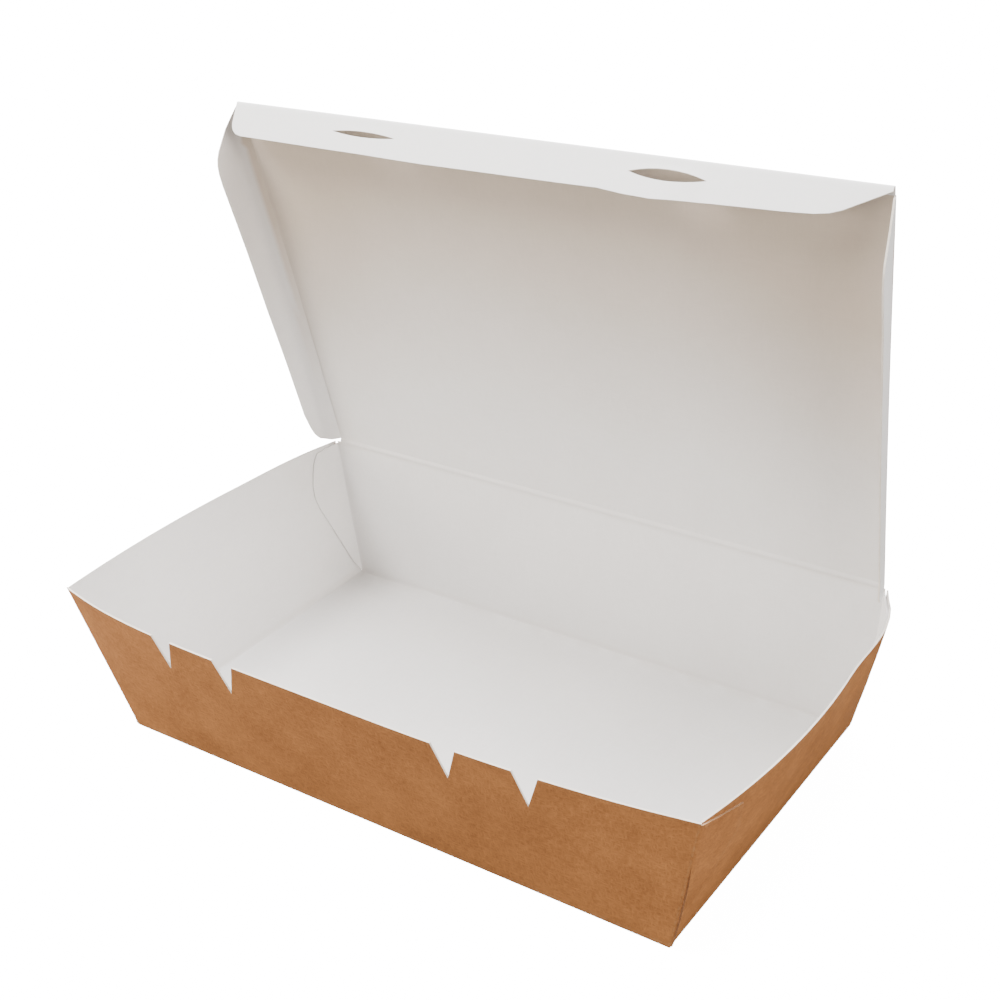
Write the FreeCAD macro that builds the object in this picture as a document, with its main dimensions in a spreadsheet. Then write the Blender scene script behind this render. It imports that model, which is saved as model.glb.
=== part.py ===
import FreeCAD, Part
import os
import Sketcher

doc = FreeCAD.newDocument("takeaway_box")

# Driving sizes, in millimetres and degrees.
SIZES = [
    ("board", 0.5, "thickness of the paperboard"),
    ("crease_gap", 0.3, "clearance left at a crease between two moving panels"),
    ("floor_length", 190.0, "floor, along the front"),
    ("floor_depth", 112.0, "floor, from front to back"),
    ("tray_height", 50.0, "rim above the table"),
    ("front_flare", 12.0, "how far a front rim corner stands outside the floor's end"),
    ("back_flare", 8.0, "how far a back rim corner stands outside the floor's end"),
    ("front_lean", 7.0, "how far the front rim corners stand forward of the floor"),
    ("back_lean", 2.5, "how far the back rim stands behind the floor"),
    ("front_bow", 6.0, "belly of the front rim between its corners"),
    ("left_bow", 4.5, "belly of the left rim between its corners"),
    ("right_bow", 8.0, "belly of the right rim between its corners"),
    ("front_tab_reach", 25.0, "outer glue tab: length of its top edge along the side wall"),
    ("front_tab_drop", 4.5, "outer glue tab: fall of its top edge below the rim"),
    ("front_tab_end", 20.0, "outer glue tab: height of its short end edge"),
    ("front_tab_rake", 8.0, "outer glue tab: how far its end edge runs back as it falls"),
    ("front_tab_rim_gap", 0.4, "outer glue tab: step below the rim at the corner"),
    ("rear_tab_reach", 11.0, "inner glue tab: length of its top edge"),
    ("rear_tab_belly", 17.0, "inner glue tab: its widest reach"),
    ("rear_tab_top", 14.0, "inner glue tab: fall from the rim to its widest point"),
    ("rear_tab_end", 5.0, "inner glue tab: height of its short end edge"),
    ("rear_tab_rim_gap", 0.6, "inner glue tab: step below the rim"),
    ("tab_foot", 1.2, "height above the table where both glue tabs end"),
    ("notch_depth", 12.2, "depth of a V notch in the front rim"),
    ("notch_left", 2.4, "opening of a V notch to the left of its point"),
    ("notch_right", 5.2, "opening of a V notch to the right of its point"),
    ("lock_width", 24.2, "locking tab, between the points of its two notches"),
    ("lock_left", 52.0, "middle of the left locking tab, from the middle of the box"),
    ("lock_right", 47.6, "middle of the right locking tab, from the middle of the box"),
    ("hinge_inset", 2.5, "how far the lid's back corners stand inside the rim corners"),
    ("lid_front_inset", 0.7, "how far the lid's front corners stand inside the front rim corners"),
    ("lid_overlap", 0.8, "how far the lid's front fold reaches past the bowed front rim"),
    ("lid_angle", 101.5, "lid panel from the level, opened past the back"),
    ("flap_depth", 11.0, "tuck flap, from its fold to its free edge"),
    ("flap_fold", 138.0, "tuck flap folded from the plane of the lid"),
    ("flap_left_slant", 1.5, "how far the flap's left end slants in"),
    ("flap_right_slant", 11.0, "how far the flap's right end slants in"),
    ("flap_round", 4.5, "rounding of the flap's free corners"),
    ("slit_set", 4.6, "slits, from the fold of the flap"),
    ("slit_margin", 0.7, "how much a slit is shorter than its locking tab at each end"),
    ("slit_open_left", 1.8, "how far the left slit gapes"),
    ("slit_open_right", 3.4, "how far the right slit gapes"),
    ("wing_fold", 57.0, "side wings folded from the plane of the lid"),
    ("wing_start", 2.5, "side wing: its start, from the hinge"),
    ("wing_heel", 7.0, "side wing: length of its rounded heel"),
    ("wing_rear_width", 10.8, "side wing: width at the heel"),
    ("wing_front_width", 14.2, "side wing: width near the front"),
    ("wing_mitre", 8.0, "side wing: run of the slanted front end"),
    ("wing_round", 5.0, "side wing: rounding of its corners"),
    ("wing_front_gap", 8.3, "side wing: how far its front end stays behind the flap's fold"),
]

sheet = doc.addObject("Spreadsheet::Sheet", "Dims")
for row, (alias, value, note) in enumerate(SIZES, start=1):
    sheet.set("A%d" % row, str(value))
    sheet.setAlias("A%d" % row, alias)
    sheet.set("B%d" % row, note)
doc.recompute()
VALUE = {alias: value for alias, value, note in SIZES}

# Repeated lengths in words, so that every piece is tied to the same cells.
HALF = "Dims.floor_length / 2"
DEEP = "Dims.floor_depth / 2"
HINGE_HALF = "(Dims.floor_length / 2 + Dims.back_flare - Dims.hinge_inset)"
LID_HALF = "(Dims.floor_length / 2 + Dims.front_flare - Dims.lid_front_inset)"
HINGE_Y = "(Dims.floor_depth / 2 + Dims.back_lean)"
HINGE_Z = "(Dims.tray_height + Dims.crease_gap)"
LID_LENGTH = "(Dims.floor_depth + Dims.back_lean + Dims.front_lean + Dims.front_bow + Dims.lid_overlap)"
TAPER = "atan((%s - %s) / %s)" % (LID_HALF, HINGE_HALF, LID_LENGTH)
FOLD_LINE = "sqrt((%s - %s) ^ 2 + %s ^ 2)" % (LID_HALF, HINGE_HALF, LID_LENGTH)


def number(expression):
    """Value of an expression over the sheet, for a sketch's first guess."""
    return float(sheet.evalExpression(expression))


def new_body(name):
    return doc.addObject("PartDesign::Body", name)


def new_sketch(body, name, role, offset=None):
    """A sketch on one of the body's own origin planes, raised by an expression."""
    sketch = body.newObject("Sketcher::SketchObject", name)
    plane = [f for f in body.Origin.OriginFeatures if f.Role == role][0]
    sketch.AttachmentSupport = [(plane, "")]
    sketch.MapMode = "FlatFace"
    if offset:
        sketch.setExpression("AttachmentOffset.Base.z", offset)
    return sketch


def pin_point(sketch, geometry, end, x_text, y_text):
    """Hold one point of the sketch at two expressions."""
    for kind, axis, text in (("DistanceX", -2, x_text), ("DistanceY", -1, y_text)):
        size = number(text)
        if abs(size) < 1e-9:
            sketch.addConstraint(Sketcher.Constraint("PointOnObject", geometry, end, axis))
        elif size > 0:
            index = sketch.addConstraint(Sketcher.Constraint(kind, -1, 1, geometry, end, size))
            sketch.setExpression("Constraints[%d]" % index, text)
        else:
            index = sketch.addConstraint(Sketcher.Constraint(kind, geometry, end, -1, 1, -size))
            sketch.setExpression("Constraints[%d]" % index, "-(%s)" % text)


def outline(sketch, corners, bellies=None):
    """A closed outline through corners; an edge with a belly is an arc through that point."""
    bellies = bellies or {}
    points = [FreeCAD.Vector(number(x), number(y), 0) for x, y in corners]
    count = len(points)
    edges = []
    for i in range(count):
        a, b = points[i], points[(i + 1) % count]
        if i in bellies:
            middle = FreeCAD.Vector(number(bellies[i][0]), number(bellies[i][1]), 0)
            arc = Part.Arc(a, middle, b)
            edges.append(sketch.addGeometry(arc, False))
        else:
            edges.append(sketch.addGeometry(Part.LineSegment(a, b), False))
    starts = []
    ends = []
    for i in range(count):
        a = points[i]
        first = sketch.getPoint(edges[i], 1)
        forward = first.distanceToPoint(a) < 1e-6
        starts.append(1 if forward else 2)
        ends.append(2 if forward else 1)
    for i in range(count):
        j = (i + 1) % count
        sketch.addConstraint(Sketcher.Constraint("Coincident", edges[i], ends[i], edges[j], starts[j]))
        pin_point(sketch, edges[i], starts[i], corners[i][0], corners[i][1])
    for i, (x, y) in bellies.items():
        middle = FreeCAD.Vector(number(x), number(y), 0)
        point = sketch.addGeometry(Part.Point(middle), True)
        pin_point(sketch, point, 1, x, y)
        sketch.addConstraint(Sketcher.Constraint("PointOnObject", point, 1, edges[i]))


def tray_form(name, side, front, back):
    """Solid between the straight floor outline and the bowed rim outline.

    side, front and back move its faces outward from the tray's outer skin.
    """
    body = new_body(name)
    foot = new_sketch(body, name + "_foot", "XY_Plane")
    x = "(%s + %s)" % (HALF, side)
    outline(foot, [
        ("-%s" % x, "-(%s + %s)" % (DEEP, front)),
        (x, "-(%s + %s)" % (DEEP, front)),
        (x, "%s + %s" % (DEEP, back)),
        ("-%s" % x, "%s + %s" % (DEEP, back)),
    ])
    rim = new_sketch(body, name + "_rim", "XY_Plane", "Dims.tray_height")
    x_front = "(%s + Dims.front_flare + %s)" % (HALF, side)
    x_back = "(%s + Dims.back_flare + %s)" % (HALF, side)
    y_front = "-(%s + Dims.front_lean + %s)" % (DEEP, front)
    y_back = "(%s + Dims.back_lean + %s)" % (DEEP, back)
    x_middle = "%s + (Dims.front_flare + Dims.back_flare) / 2 + %s" % (HALF, side)
    y_side = "((Dims.back_lean - Dims.front_lean) / 2)"
    outline(rim, [
        ("-%s" % x_front, y_front),
        (x_front, y_front),
        (x_back, y_back),
        ("-%s" % x_back, y_back),
    ], {
        0: ("0", "-(%s + Dims.front_lean + Dims.front_bow + %s)" % (DEEP, front)),
        1: ("(%s + Dims.right_bow)" % x_middle, y_side),
        3: ("-(%s + Dims.left_bow)" % x_middle, y_side),
    })
    doc.recompute()
    loft = body.newObject("PartDesign::AdditiveLoft", name + "_loft")
    loft.Profile = foot
    loft.Sections = [rim]
    loft.Ruled = True
    body.Tip = loft
    doc.recompute()
    return body


def prism(name, role, corners, length, both_ways):
    """A straight block of the given outline, padded from an origin plane."""
    body = new_body(name)
    sketch = new_sketch(body, name + "_outline", role)
    outline(sketch, corners)
    doc.recompute()
    pad = body.newObject("PartDesign::Pad", name + "_pad")
    pad.Profile = sketch
    pad.setExpression("Length", length)
    pad.Midplane = both_ways
    body.Tip = pad
    doc.recompute()
    return body


def boolean(kind, name, base, tool):
    item = doc.addObject(kind, name)
    item.Base = base
    item.Tool = tool
    doc.recompute()
    return item


# The tray: floor, four walls and the glued corner tabs are one folded sheet.
outer_skin = tray_form("outer_skin", "0", "0", "0")
inner_skin = tray_form("inner_skin", "-Dims.board", "-Dims.board", "-Dims.board")
tab_skin = tray_form("tab_skin", "Dims.board", "0", "0")
tab_hollow = tray_form("tab_hollow", "-2 * Dims.board", "-Dims.board", "0")

# The floor is left in the hollow as one board's thickness.
floor_slab = prism("floor_slab", "XY_Plane", [
    ("-Dims.floor_length", "-Dims.floor_depth"),
    ("Dims.floor_length", "-Dims.floor_depth"),
    ("Dims.floor_length", "Dims.floor_depth"),
    ("-Dims.floor_length", "Dims.floor_depth"),
], "Dims.board", False)
hollow = boolean("Part::Cut", "hollow", inner_skin, floor_slab)

# Front glue tabs, seen from the side: they wrap round the corner over the side walls.
# They start a fifth of the board's thickness behind the front wall's face.
rim_z = "(Dims.tray_height - Dims.front_tab_rim_gap)"
lean_at = "(Dims.front_lean * %s / Dims.tray_height)"
setback = "Dims.board / 5"
front_tabs = prism("front_tabs", "YZ_Plane", [
    ("-(%s + %s) + %s" % (DEEP, lean_at % "Dims.tab_foot", setback), "Dims.tab_foot"),
    ("-(%s + Dims.front_lean) + Dims.front_tab_reach + Dims.front_tab_rake" % DEEP,
     "Dims.tray_height - Dims.front_tab_drop - Dims.front_tab_end"),
    ("-(%s + Dims.front_lean) + Dims.front_tab_reach" % DEEP,
     "Dims.tray_height - Dims.front_tab_drop"),
    ("-(%s + %s) + %s" % (DEEP, lean_at % rim_z, setback), rim_z),
], "2 * Dims.floor_length", True)
front_tab_layer = boolean("Part::Common", "front_tab_layer", tab_skin, front_tabs)
shell = boolean("Part::Fuse", "shell", outer_skin, front_tab_layer)

# Rear glue tabs: they wrap round the corner inside the side walls.
# Their block runs on behind the back wall, where only the wall's own form counts.
rear_top = "(Dims.tray_height - Dims.rear_tab_rim_gap)"
behind = "%s + Dims.back_lean + 10 * Dims.board" % DEEP
rear_tabs = prism("rear_tabs", "YZ_Plane", [
    (behind, "Dims.tab_foot"),
    ("%s - Dims.tab_foot" % DEEP, "Dims.tab_foot"),
    ("%s + Dims.back_lean - Dims.rear_tab_belly" % DEEP,
     "Dims.tray_height - Dims.rear_tab_top - Dims.rear_tab_end"),
    ("%s + Dims.back_lean - Dims.rear_tab_belly" % DEEP, "Dims.tray_height - Dims.rear_tab_top"),
    ("%s + Dims.back_lean - Dims.rear_tab_reach" % DEEP, rear_top),
    (behind, rear_top),
], "2 * Dims.floor_length", True)
rear_tab_layer = boolean("Part::Cut", "rear_tab_layer", rear_tabs, tab_hollow)
hollow_with_tabs = boolean("Part::Cut", "hollow_with_tabs", hollow, rear_tab_layer)
open_tray = boolean("Part::Cut", "open_tray", shell, hollow_with_tabs)

# Two pairs of V notches leave a locking tab in each half of the front rim.
# Each V runs on past the rim by a tenth of its depth.
notch_top = "Dims.tray_height + Dims.notch_depth / 10"
slope_left = "Dims.notch_left * 1.1"
slope_right = "Dims.notch_right * 1.1"
notch_cutter = new_body("notch_cutter")
notch_sketch = new_sketch(notch_cutter, "notch_outline", "XZ_Plane")
for middle in ("-Dims.lock_left", "Dims.lock_right"):
    for side in ("-", "+"):
        tip = "(%s %s Dims.lock_width / 2)" % (middle, side)
        outline(notch_sketch, [
            (tip, "Dims.tray_height - Dims.notch_depth"),
            ("%s + %s" % (tip, slope_right), notch_top),
            ("%s - %s" % (tip, slope_left), notch_top),
        ])
doc.recompute()
notch_pad = notch_cutter.newObject("PartDesign::Pad", "notch_pad")
notch_pad.Profile = notch_sketch
notch_pad.setExpression("Length", "Dims.floor_depth")
notch_cutter.Tip = notch_pad
doc.recompute()
if notch_cutter.Shape.BoundBox.YMin > -1:
    notch_pad.Reversed = True
    doc.recompute()
tray = boolean("Part::Cut", "tray_solid", open_tray, notch_cutter)
tray.Label = "tray"


def sheet_panel(name, corners, rounds):
    """A flat panel drawn on its inner face, with chosen corners rounded."""
    body = new_body(name)
    sketch = new_sketch(body, name + "_outline", "XY_Plane")
    outline(sketch, corners)
    doc.recompute()
    pad = body.newObject("PartDesign::Pad", name + "_pad")
    pad.Profile = sketch
    pad.setExpression("Length", "Dims.board")
    pad.Reversed = True
    body.Tip = pad
    doc.recompute()
    last = pad
    for index, radius in rounds:
        x, y = number(corners[index][0]), number(corners[index][1])
        edges = []
        for i, edge in enumerate(last.Shape.Edges, start=1):
            box = edge.BoundBox
            upright = box.ZLength > 1e-4 and box.XLength < 1e-4 and box.YLength < 1e-4
            if upright and abs(box.XMin - x) < 0.02 and abs(box.YMin - y) < 0.02:
                edges.append("Edge%d" % i)
        fillet = body.newObject("PartDesign::Fillet", "%s_round_%d" % (name, index))
        fillet.Base = (last, edges)
        fillet.setExpression("Radius", radius)
        body.Tip = fillet
        doc.recompute()
        last = fillet
    return body


def place(body, moves):
    """Bind the placement to a chain of (x, y, z, axis, angle) moves."""
    parts = []
    for x, y, z, axis, angle in moves:
        parts.append(
            "create(<<placement>>; create(<<vector>>; %s; %s; %s);"
            " create(<<rotation>>; create(<<vector>>; %s); %s))" % (x, y, z, axis, angle)
        )
    body.setExpression("Placement", " * ".join(parts))
    doc.recompute()


LID_MOVE = ("0 mm", HINGE_Y + " * 1 mm", HINGE_Z + " * 1 mm", "1; 0; 0", "Dims.lid_angle * 1 deg")

# The lid's panel widens from the hinge to its front fold.
half_gap = "Dims.crease_gap / 2"
lid_panel = sheet_panel("lid_panel", [
    ("-%s + %s" % (HINGE_HALF, half_gap), half_gap),
    ("%s - %s" % (HINGE_HALF, half_gap), half_gap),
    ("%s - %s" % (LID_HALF, half_gap), "%s - %s" % (LID_LENGTH, half_gap)),
    ("-%s + %s" % (LID_HALF, half_gap), "%s - %s" % (LID_LENGTH, half_gap)),
], [])
lid_panel.Label = "lid_panel"
place(lid_panel, [LID_MOVE])

# The tuck flap folds over from the lid's front edge.
tuck_flap = sheet_panel("tuck_flap", [
    ("-%s" % LID_HALF, half_gap),
    (LID_HALF, half_gap),
    ("%s - Dims.flap_right_slant" % LID_HALF, "Dims.flap_depth"),
    ("-%s + Dims.flap_left_slant" % LID_HALF, "Dims.flap_depth"),
], [(2, "Dims.flap_round"), (3, "Dims.flap_round")])
slit_sketch = new_sketch(tuck_flap, "slit_outline", "XY_Plane")
SLITS = (("-Dims.lock_left", "Dims.slit_open_left"), ("Dims.lock_right", "Dims.slit_open_right"))
for middle, gape in SLITS:
    left = "%s - Dims.lock_width / 2 + Dims.slit_margin" % middle
    right = "%s + Dims.lock_width / 2 - Dims.slit_margin" % middle
    outline(slit_sketch, [(left, "Dims.slit_set"), (right, "Dims.slit_set")], {
        0: (middle, "Dims.slit_set - %s / 2" % gape),
        1: (middle, "Dims.slit_set + %s / 2" % gape),
    })
doc.recompute()
flap_volume = tuck_flap.Shape.Volume
slits = tuck_flap.newObject("PartDesign::Pocket", "slits")
slits.Profile = slit_sketch
slits.Type = 1
slits.Midplane = True
tuck_flap.Tip = slits
doc.recompute()
if tuck_flap.Shape.Volume > flap_volume - 1:
    raise RuntimeError("the slits cut nothing")
tuck_flap.Label = "tuck_flap"
FLAP_MOVE = ("0 mm", LID_LENGTH + " * 1 mm", "0 mm", "1; 0; 0", "Dims.flap_fold * 1 deg")
place(tuck_flap, [LID_MOVE, FLAP_MOVE])

# The side wings: rounded heel at the hinge, slanted end at the front.
for name, sign in (("right_wing", ""), ("left_wing", "-")):
    edge = "%s(%s)" % (sign, half_gap)
    end = "%s - Dims.wing_front_gap" % FOLD_LINE
    corners = [
        (edge, "Dims.wing_start"),
        ("%sDims.wing_rear_width" % sign, "Dims.wing_start + Dims.wing_heel"),
        ("%sDims.wing_front_width" % sign, "%s - Dims.wing_mitre" % end),
        (edge, end),
    ]
    wing = sheet_panel(name, corners, [(1, "Dims.wing_round"), (2, "Dims.wing_round")])
    wing.Label = name
    turn = "-%s * 1 deg" % "Dims.wing_fold" if not sign else "Dims.wing_fold * 1 deg"
    swing = "-%s" % TAPER if not sign else TAPER
    place(wing, [
        LID_MOVE,
        ("%s%s * 1 mm" % (sign, HINGE_HALF), "0 mm", "0 mm", "0; 0; 1", swing),
        ("0 mm", "0 mm", "0 mm", "0; 1; 0", turn),
    ])

doc.recompute()
for item in doc.Objects:
    if "Invalid" in item.State or "Error" in item.State:
        raise RuntimeError("%s did not build: %s" % (item.Name, item.State))

os.makedirs("parts", exist_ok=True)
NODES = [tray, lid_panel, tuck_flap, doc.getObject("left_wing"), doc.getObject("right_wing")]
for node in NODES:
    shape = node.Shape
    if shape.isNull() or not shape.isValid() or len(shape.Solids) != 1:
        raise RuntimeError("%s is not one sound solid" % node.Label)
    shape.exportStep("parts/%s.step" % node.Label)
    box = shape.BoundBox
    print(node.Label, "volume %.1f" % shape.Volume, "box %.2f %.2f %.2f to %.2f %.2f %.2f" % (
        box.XMin, box.YMin, box.ZMin, box.XMax, box.YMax, box.ZMax))
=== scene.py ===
# %% [markdown]
# # A folded takeaway box
#
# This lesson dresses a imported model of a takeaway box: one sheet of carton board, brown kraft
# outside and coated white inside, folded into a tray with a hinged lid, two side wings and a
# tuck flap. The real box is cut flat, creased and folded, so it is made here in the same way.
# One sheet is laid out in its folded state, thickened to half a millimetre, and only then
# parted along the creases that move. The parts meet exactly, because they were one sheet.

# %% Load the frame
import math

import bmesh
import bpy
from mathutils import Matrix, Vector


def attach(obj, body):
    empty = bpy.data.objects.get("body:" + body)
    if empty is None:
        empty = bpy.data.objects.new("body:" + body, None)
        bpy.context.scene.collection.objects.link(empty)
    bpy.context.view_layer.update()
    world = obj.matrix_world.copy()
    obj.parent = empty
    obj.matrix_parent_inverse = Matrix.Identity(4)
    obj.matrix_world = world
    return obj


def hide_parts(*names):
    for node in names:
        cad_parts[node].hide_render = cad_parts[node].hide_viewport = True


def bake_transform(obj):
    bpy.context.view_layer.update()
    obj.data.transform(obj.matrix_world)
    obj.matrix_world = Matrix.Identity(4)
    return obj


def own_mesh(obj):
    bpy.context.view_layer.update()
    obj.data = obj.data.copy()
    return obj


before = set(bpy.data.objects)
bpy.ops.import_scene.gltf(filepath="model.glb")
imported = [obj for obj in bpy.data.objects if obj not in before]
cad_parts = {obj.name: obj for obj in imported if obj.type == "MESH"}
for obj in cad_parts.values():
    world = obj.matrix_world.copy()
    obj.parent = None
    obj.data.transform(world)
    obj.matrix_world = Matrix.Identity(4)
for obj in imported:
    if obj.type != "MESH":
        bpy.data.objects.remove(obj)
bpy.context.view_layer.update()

# %% [markdown]
# ## The sizes
#
# The driving sizes are those of the solid model, here in metres. The floor is a rectangle, the
# rim is larger, and each wall is ruled between them: every line up a wall is straight. A rim of
# slack board bellies outward between its corners, so each rim has a belly of its own. A hand
# folded box isn't even, so many sizes are kept in pairs, one for the left and one for the right.

# %% Name the sizes
MM = 0.001
LEFT, RIGHT = -1, 1
BOARD = 0.5 * MM
AIR = 0.06 * MM
LAP = BOARD + AIR
FLOOR_HALF = 95 * MM
FLOOR_DEEP = 56 * MM
HEIGHT = 50 * MM
FRONT_FLARES = {LEFT: 13.2 * MM, RIGHT: 12 * MM}
BACK_FLARE = 8 * MM
FRONT_LEAN = 7 * MM
BACK_LEAN = 2.5 * MM
FRONT_BOW = 7.4 * MM
BOW_POWERS = {LEFT: 4.4, RIGHT: 2.8}
SIDE_BOWS = {LEFT: 4.5 * MM, RIGHT: 8 * MM}
REAR_FLARES = {LEFT: 0.8 * MM, RIGHT: 2.8 * MM}
CORNER_BULGE = {LEFT: 0.3 * MM, RIGHT: 2.0 * MM}
LID_ANGLE = math.radians(101.5)
HINGE = Vector((0, FLOOR_DEEP + BACK_LEAN, HEIGHT + 0.3 * MM))
HINGE_ENDS = {LEFT: 100.5 * MM, RIGHT: 101.4 * MM}
LID_ENDS = {LEFT: 106.3 * MM, RIGHT: 106.4 * MM}
LID_HALF = LID_ENDS[RIGHT]
FOLD_DIP = {LEFT: 0.8 * MM, RIGHT: 0.3 * MM}
LID_LENGTH = 128.3 * MM
FOLD_BAND = 1.0 * MM

PIECES = [
    "tray_board", "lid_crease", "lid_board", "flap_crease", "flap_board",
    "left_wing_crease", "left_wing_board", "right_wing_crease", "right_wing_board",
]


def mix(a, b, t):
    return a + (b - a) * t


def ramp(x, low, high):
    """0 below low, 1 above high and a smooth step between them."""
    t = min(max((x - low) / (high - low), 0.0), 1.0)
    return t * t * (3 - 2 * t)


def broken_line(points, x):
    """Height at x of the line through points, which are sorted by their first number."""
    if x <= points[0][0]:
        return points[0][1]
    for (x0, y0), (x1, y1) in zip(points, points[1:]):
        if x <= x1:
            return mix(y0, y1, (x - x0) / (x1 - x0))
    return points[-1][1]


print("rim: %.0f x %.0f mm" % (
    2000 * (FLOOR_HALF + FRONT_FLARES[RIGHT]), 1000 * (2 * FLOOR_DEEP + FRONT_LEAN + BACK_LEAN)))

# %% [markdown]
# ## One sheet of board
#
# A sheet could be one wall at a time with a Solidify modifier on each, but then the corners
# never meet. Here every wall adds its patch of outer skin to the same mesh, and points that
# fall together are welded. Each face remembers which piece it belongs to, and whether its
# outer face stayed white. Each point remembers its crease mark, which is rub on the kraft and
# painted shade on the lining, and the painted shade of the lid's lining under the flap, for the
# materials. The thickness comes at the very end.

# %% Start the sheet
sheet = bmesh.new()
piece_layer = sheet.faces.layers.int.new("piece")
white_layer = sheet.faces.layers.int.new("white_face")
# The first layer is the crease mark, rub on the kraft and painted shade on the lining. The second
# is the painted shade on the lid's lining under the flap.
rub_and_shade_layer = sheet.verts.layers.float.new("rub_and_shade")
shade_layer = sheet.verts.layers.float.new("shade")


def lay_patch(rows, piece, rub_and_shade_of=None, white=False, shaded=None):
    """Add a grid of outer-skin points; piece is a name or a function of the cell."""
    verts = []
    for r, row in enumerate(rows):
        line = []
        for c, point in enumerate(row):
            vert = sheet.verts.new(point)
            vert[rub_and_shade_layer] = rub_and_shade_of(r, c) if rub_and_shade_of else 0.0
            vert[shade_layer] = shaded(point) if shaded else 0.0
            line.append(vert)
        verts.append(line)
    for r in range(len(rows) - 1):
        for c in range(len(rows[r]) - 1):
            corners = (verts[r][c], verts[r][c + 1], verts[r + 1][c + 1], verts[r + 1][c])
            face = sheet.faces.new(corners)
            name = piece(r, c) if callable(piece) else piece
            face[piece_layer] = PIECES.index(name)
            face[white_layer] = int(white)
            face.smooth = True


print("an empty sheet, and %d pieces to part it into" % len(PIECES))

# %% [markdown]
# ## The walls' shape
#
# Three small functions give any point of the outer skin: on the front wall, on a side wall and
# on the back wall. The front rim of the real box is flatter in its middle than an arc and turns
# in near its corners, so its belly is a power curve, fuller on the left. A side rim also flares
# near the back, most of all on the right, where little holds it to the glued tab inside, and
# there the corner below it has sprung outward at mid height.

# %% Describe the walls
def front_half(side, k):
    """Half the front wall's width at the share k of its height."""
    return FLOOR_HALF + FRONT_FLARES[side] * k


def back_half(side, k):
    """The same at the back, where the right corner has sprung outward at mid height."""
    return FLOOR_HALF + BACK_FLARE * k + CORNER_BULGE[side] * 4 * k * (1 - k)


def corner(side, front, z):
    """The outer corner line between the front or back wall and a side wall."""
    k = z / HEIGHT
    if front:
        return Vector((side * front_half(side, k), -(FLOOR_DEEP + FRONT_LEAN * k), z))
    return Vector((side * back_half(side, k), FLOOR_DEEP + BACK_LEAN * k, z))


def front_point(s, z):
    """s runs from -1 at the left corner to 1 at the right one."""
    k = z / HEIGHT
    side = LEFT if s < 0 else RIGHT
    belly = FRONT_BOW * (1 - abs(s) ** BOW_POWERS[side]) * k
    ripple = 0.15 * MM * math.sin(5.1 * s + 0.8) * math.sin(math.pi * k)
    x = s * front_half(side, k)
    return Vector((x, -(FLOOR_DEEP + FRONT_LEAN * k + belly + ripple * (1 - s * s)), z))


def side_point(side, t, z):
    """t runs from 0 at the front corner to 1 at the back one."""
    k = z / HEIGHT
    point = mix(corner(side, True, z), corner(side, False, z), t)
    belly = 4 * SIDE_BOWS[side] * t * (1 - t) * k
    flare = REAR_FLARES[side] * ramp(t, 0.62, 0.85) * ramp(1 - t, 0.0, 0.11) * k ** 1.6
    return point + Vector((side * (belly + flare), 0, 0))


def side_at(side, y, z):
    """The side wall's point at a given y."""
    front, back = corner(side, True, z).y, corner(side, False, z).y
    return side_point(side, (y - front) / (back - front), z)


def inner_step(z):
    """How far a layer inside the side wall stands off it, from nothing at the floor."""
    return LAP * ramp(z, 0, 1.5 * MM)


def outer_step(z):
    """The same for a layer outside the side wall."""
    return LAP * ramp(z, 0, 1.2 * MM)


def back_point(u, z):
    """u runs from -1 at the left corner to 1 at the right one, inside the side walls."""
    k = z / HEIGHT
    x = u * (back_half(LEFT if u < 0 else RIGHT, k) - inner_step(z))
    return Vector((x, FLOOR_DEEP + BACK_LEAN * k, z))


# FOOT is the reach of the fold at a wall's foot. ROWS are the heights of the rows that every
# wall shares, so that neighbours weld.
FOOT = 0.8 * MM
ROWS = [z * MM for z in (1.2, 3, 5.5, 9, 13, 17, 21, 25.5, 30, 34, 38, 42, 45.5, 47, 48.4, 49.4)]
ROWS.append(HEIGHT)


def foot_rows(inner, fold, wall):
    """The rounded fold between the floor and a wall, as four points on a quadratic curve."""
    points = []
    for t in (0.0, 0.35, 0.7, 1.0):
        points.append(mix(mix(inner, fold, t), mix(fold, wall, t), t))
    return points


print("rows up a wall:", len(ROWS) + 4)

# %% [markdown]
# ## The front wall and its locking tabs
#
# Four V notches in the front rim leave two locking tabs that push through the lid's slits. A
# boolean cut would leave long thin faces, so the columns of the grid are placed on the points
# of each V instead, and the upper rows bend down into it. At its ends the wall turns round
# the corner, and the fold is a short curve between the wall and the tab behind it.

# %% Lay the front wall
NOTCH_DEPTH = 12.4 * MM
NOTCH_LEFT, NOTCH_RIGHT = 2.4 * MM, 5.2 * MM
LOCK_WIDTH = 24.2 * MM
LOCK_MIDDLES = (-51.7 * MM, 47.9 * MM)
NOTCH_TIPS = [m + d * LOCK_WIDTH / 2 for m in LOCK_MIDDLES for d in (-1, 1)]
RIM_HALF = FLOOR_HALF + FRONT_FLARES[RIGHT]
BEND = 32 * MM


def notch_shares(tip):
    """A notch's left end, tip and right end as shares of the wall's half width."""
    side = LEFT if tip < 0 else RIGHT
    top, low = front_half(side, 1), front_half(side, 1 - NOTCH_DEPTH / HEIGHT)
    return [(tip - NOTCH_LEFT) / top, tip / low, (tip + NOTCH_RIGHT) / top]


def rim_height(s):
    """Height of the notched front rim at s."""
    for tip in NOTCH_TIPS:
        left, middle, right = notch_shares(tip)
        if left < s < right:
            line = [(left, HEIGHT), (middle, HEIGHT - NOTCH_DEPTH), (right, HEIGHT)]
            return broken_line(line, s)
    return HEIGHT


def front_columns():
    """Columns along the front wall, on every corner of every notch."""
    stops = [-1.0]
    for tip in NOTCH_TIPS:
        stops += notch_shares(tip)
    stops.append(1.0)
    columns = []
    for a, b in zip(stops, stops[1:]):
        count = max(1, round((b - a) * RIM_HALF / (5 * MM)))
        columns += [mix(a, b, i / count) for i in range(count)]
    return columns[1:]


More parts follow.
